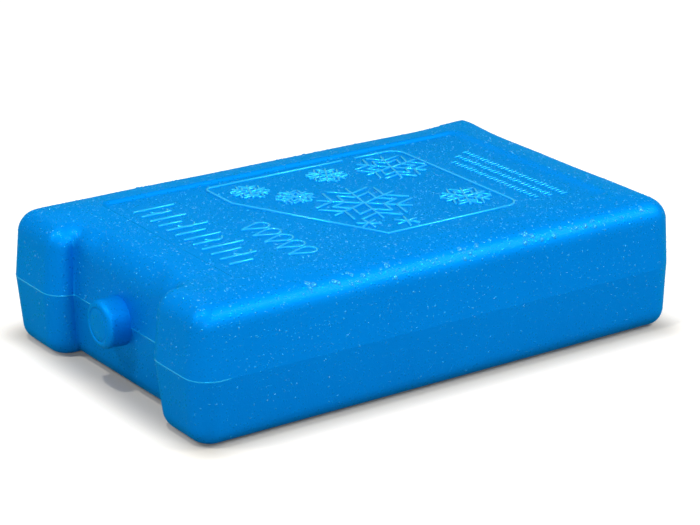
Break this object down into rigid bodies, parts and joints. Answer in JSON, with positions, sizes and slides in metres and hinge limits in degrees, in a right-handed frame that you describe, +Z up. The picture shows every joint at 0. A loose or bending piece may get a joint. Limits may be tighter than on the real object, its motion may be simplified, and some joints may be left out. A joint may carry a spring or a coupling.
{
  "type": "reusable ice pack",
  "caption": "Sealed hard-shell cool-box ice pack: a rounded drafted block with a notched end, a round filler plug and a recessed snowflake panel on top.",
  "frame": {"origin": "middle of the flat underside", "axes": "+X along the pack's length, away from the notched end with the plug; +Y across its width; +Z up through its thickness"},
  "size_m": [0.2, 0.1254, 0.049],
  "materials": {
    "shell": "satin blow-moulded blue polyethylene, beaded with condensation",
    "plug": "satin moulded blue polyethylene"
  },
  "bodies": {
    "root": {"pack_body": "shell", "filler_plug": "plug"}
  },
  "joints": []
}
